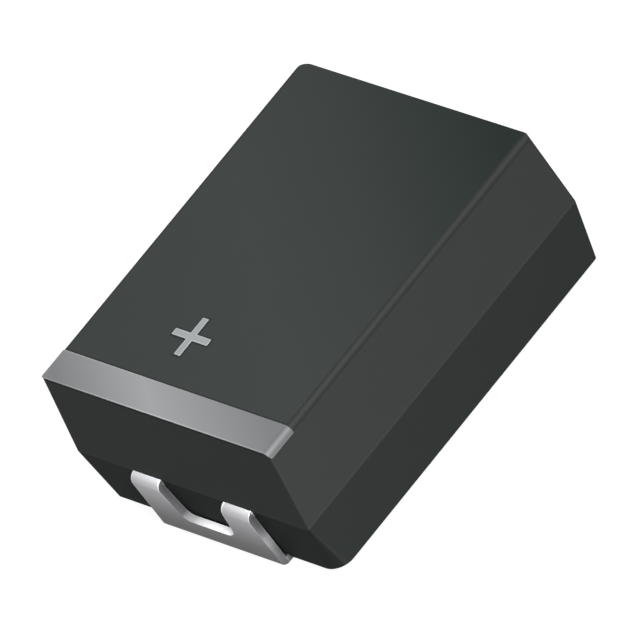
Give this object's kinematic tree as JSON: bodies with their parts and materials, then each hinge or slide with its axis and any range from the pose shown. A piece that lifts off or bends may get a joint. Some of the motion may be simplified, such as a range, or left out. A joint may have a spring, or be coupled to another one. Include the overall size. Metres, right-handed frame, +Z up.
{
  "type": "tantalum capacitor",
  "caption": "Moulded surface-mount tantalum capacitor: dark block with sides tapered both ways from a parting line, grey polarity band, and flat terminals folded under each end.",
  "frame": {"origin": "midway between the two terminals, on the plane of their soles", "axes": "+X along the case from the anode end to the cathode end, +Y across it, +Z up from the board"},
  "size_m": [0.0074, 0.0052, 0.003],
  "materials": {
    "moulded_epoxy": "fine moulded texture, satin",
    "grey_print": "satin silver-grey print",
    "tinned_strip": "matte tin plate on nickel-iron strip",
    "tantalum_wire": "drawn",
    "sintered_tantalum": "sintered, porous, matt",
    "manganese_dioxide": "matt black",
    "graphite": "soft sheen",
    "silver_paint": "matt",
    "white_fluoroplastic": "waxy",
    "silver_adhesive": "matt, metal-filled"
  },
  "bodies": {
    "root": {"anode_terminal": "tinned_strip", "cathode_terminal": "tinned_strip", "anode_wire": "tantalum_wire", "tantalum_pellet": "sintered_tantalum", "manganese_dioxide_coat": "manganese_dioxide", "graphite_coat": "graphite", "silver_coat": "silver_paint", "insulating_washer": "white_fluoroplastic", "silver_adhesive": "silver_adhesive", "moulded_case": "moulded_epoxy", "polarity_band": "grey_print", "polarity_mark": "grey_print"}
  },
  "joints": []
}
